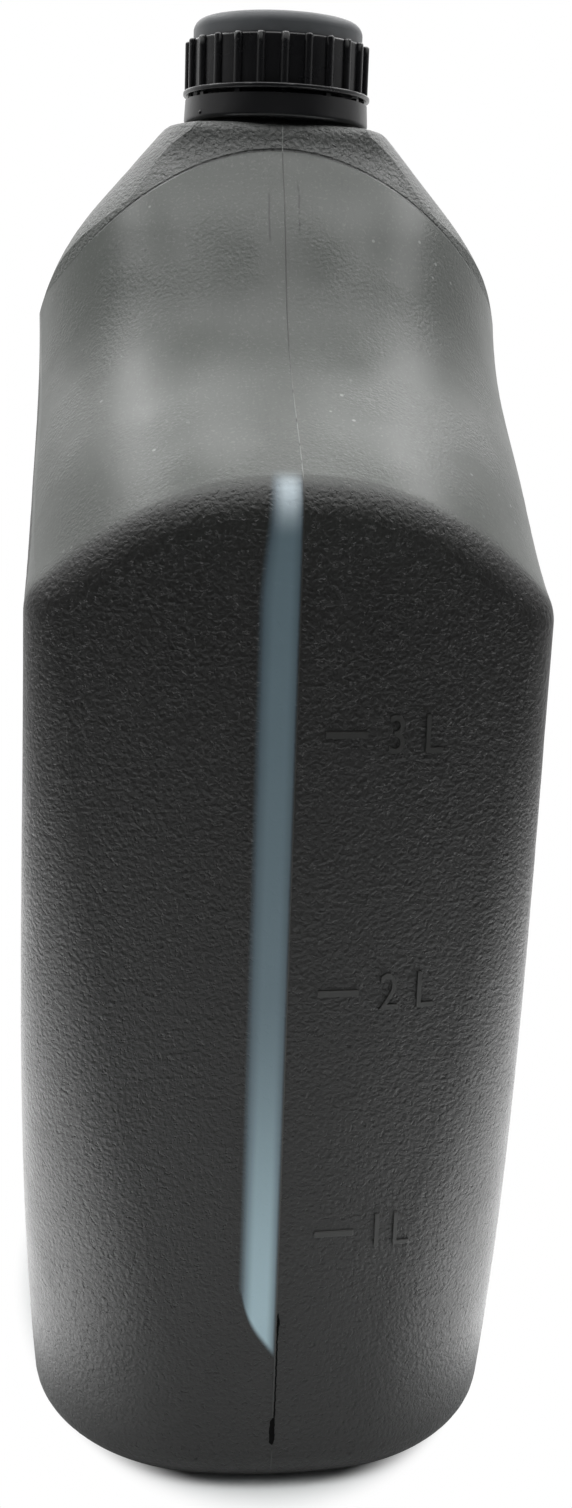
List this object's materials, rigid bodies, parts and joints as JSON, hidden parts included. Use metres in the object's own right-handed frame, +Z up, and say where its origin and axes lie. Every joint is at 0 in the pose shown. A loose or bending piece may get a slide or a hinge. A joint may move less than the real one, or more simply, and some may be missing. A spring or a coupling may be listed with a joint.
{
  "type": "motor oil bottle",
  "caption": "Tall narrow plastic bottle with a sight-strip face, an arched sloping shoulder, a pinched rear handle, and a ribbed screw cap over a tamper band.",
  "frame": {"origin": "middle of the base, on the surface the bottle stands on", "axes": "+Z up, -Y towards the narrow face with the sight strip, +Y towards the handle, +X to the right seen from the strip"},
  "size_m": [0.1082, 0.19, 0.3065],
  "materials": {
    "body": "dark grey polyethylene, leather grain with a smooth satin shoulder",
    "cap": "black polypropylene, semi-gloss",
    "band": "black polypropylene, semi-gloss",
    "liner": "white foamed wad"
  },
  "bodies": {
    "body": {"bottle_body": "body", "tamper_band": "band"},
    "wad": {"cap_liner": "liner"},
    "closure": {"cap": "cap"}
  },
  "joints": [
    {"name": "cap_rise", "type": "slide", "parent": "body", "child": "wad", "axis": [0, 0, 1], "range_m": [0, 0.006]},
    {"name": "cap_turn", "type": "hinge", "parent": "wad", "child": "closure", "pos_m": [0, -0.002, 0.295], "axis": [0, 0, 1], "range_deg": [0, 540]}
  ],
  "couplings": [
    {"joint": "cap_rise", "follows": "cap_turn", "m_per_rad": 0.000636}
  ]
}
